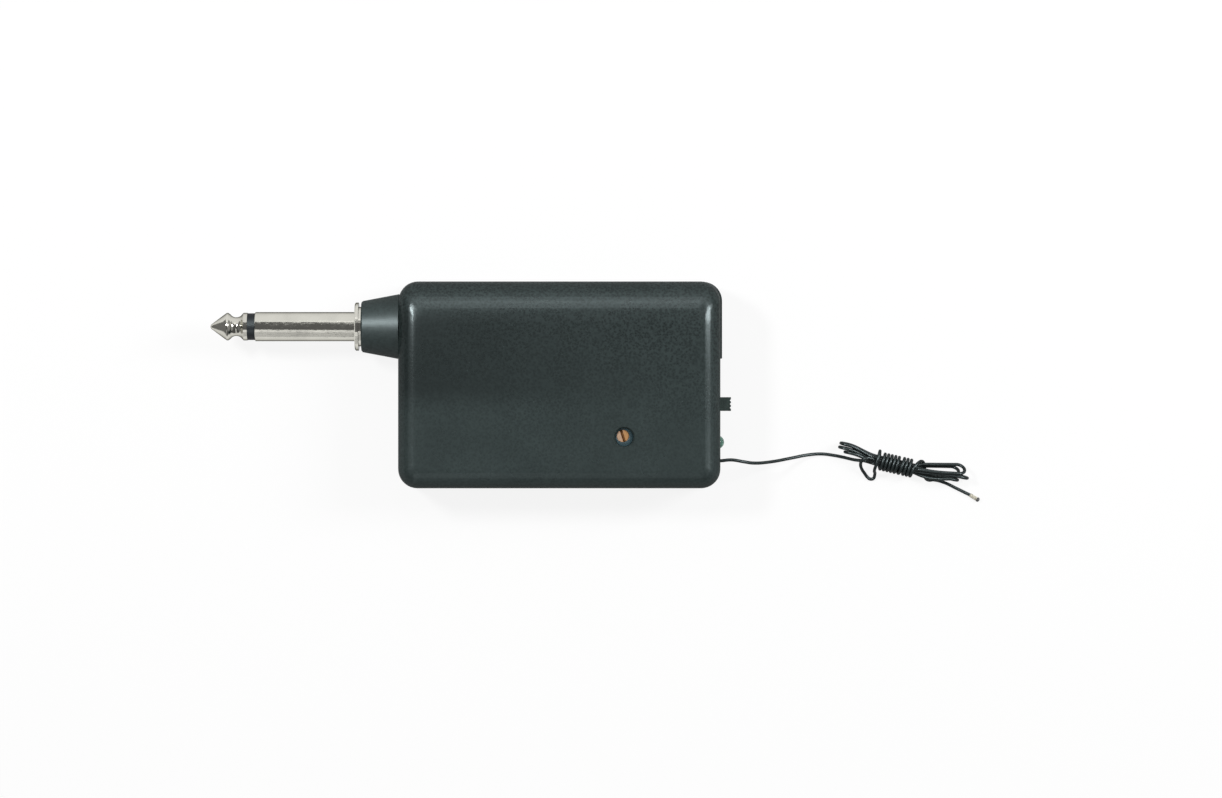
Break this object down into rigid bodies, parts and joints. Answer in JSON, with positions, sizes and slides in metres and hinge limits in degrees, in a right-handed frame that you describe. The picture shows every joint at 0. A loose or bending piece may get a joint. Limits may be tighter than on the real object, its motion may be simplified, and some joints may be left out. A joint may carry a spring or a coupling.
{
  "type": "wireless guitar receiver",
  "caption": "Plug-in wireless guitar receiver: rounded plastic case with a quarter-inch plug, slide switch, lamp, tuning trimmer, sliding battery door and a bound wire antenna.",
  "frame": {"origin": "centre of the case's flat back face, on which the part lies", "axes": "+X from the plug to the antenna, along the plug axis; +Y across the front face towards the battery; +Z out of the front face"},
  "size_m": [0.168, 0.0483, 0.02],
  "materials": {
    "case_plastic": "fine spark-textured dark green-grey plastic",
    "door_plastic": "fine spark-textured dark green-grey plastic",
    "neck_plastic": "satin dark green-grey plastic",
    "knob_black": "satin black plastic",
    "plug_nickel": "bright nickel plating",
    "insulator_black": "gloss black plastic",
    "steel": "plated steel",
    "tinned": "tinned metal",
    "board_green": "solder-masked board",
    "trimmer_blue": "moulded blue plastic",
    "rotor_copper": "turned copper alloy",
    "phenolic_brown": "phenolic",
    "lamp_green": "tinted clear epoxy",
    "cell_jacket": "plain jacketed cell",
    "chip_black": "moulded epoxy",
    "capacitor_sleeve": "shrink sleeve",
    "resistor_tan": "lacquer",
    "wire_black": "soft jacket",
    "wire_white": "soft jacket",
    "wire_red": "soft jacket",
    "antenna_jacket": "satin soft jacket"
  },
  "bodies": {
    "case": {"front_shell": "case_plastic", "rear_shell": "case_plastic", "case_screws": "steel", "plug_neck": "neck_plastic", "plug_sleeve": "plug_nickel", "plug_insulator": "insulator_black", "plug_tip": "plug_nickel", "plug_nut": "steel", "sleeve_lug": "tinned", "tip_lug": "tinned", "circuit_board": "board_green", "trimmer_body": "trimmer_blue", "switch_frame": "steel", "switch_base": "phenolic_brown", "switch_terminals": "tinned", "lamp_lens": "lamp_green", "lamp_leads": "tinned", "battery_cell": "cell_jacket", "battery_spring": "steel", "positive_contact": "steel", "negative_contact": "steel", "chip_body": "chip_black", "chip_leads": "tinned", "coil_can": "steel", "coil_core": "phenolic_brown", "capacitors": "capacitor_sleeve", "resistors": "resistor_tan", "sleeve_wire": "wire_black", "tip_wire": "wire_white", "positive_wire": "wire_red", "negative_wire": "wire_black", "antenna_lead": "antenna_jacket", "antenna_hank": "antenna_jacket", "antenna_tail": "antenna_jacket", "antenna_tip": "tinned"},
    "door": {"battery_door": "door_plastic"},
    "knob": {"switch_knob": "knob_black"},
    "rotor": {"trimmer_rotor": "rotor_copper"}
  },
  "joints": [
    {"name": "door_slide", "type": "slide", "parent": "case", "child": "door", "axis": [1, 0, 0], "range_m": [0, 0.058]},
    {"name": "switch_slide", "type": "slide", "parent": "case", "child": "knob", "axis": [0, 1, 0], "range_m": [-0.002, 0]},
    {"name": "trimmer_turn", "type": "hinge", "parent": "case", "child": "rotor", "pos_m": [0.0138, -0.0111, 0.0184], "axis": [0, 0, 1], "continuous": true}
  ]
}
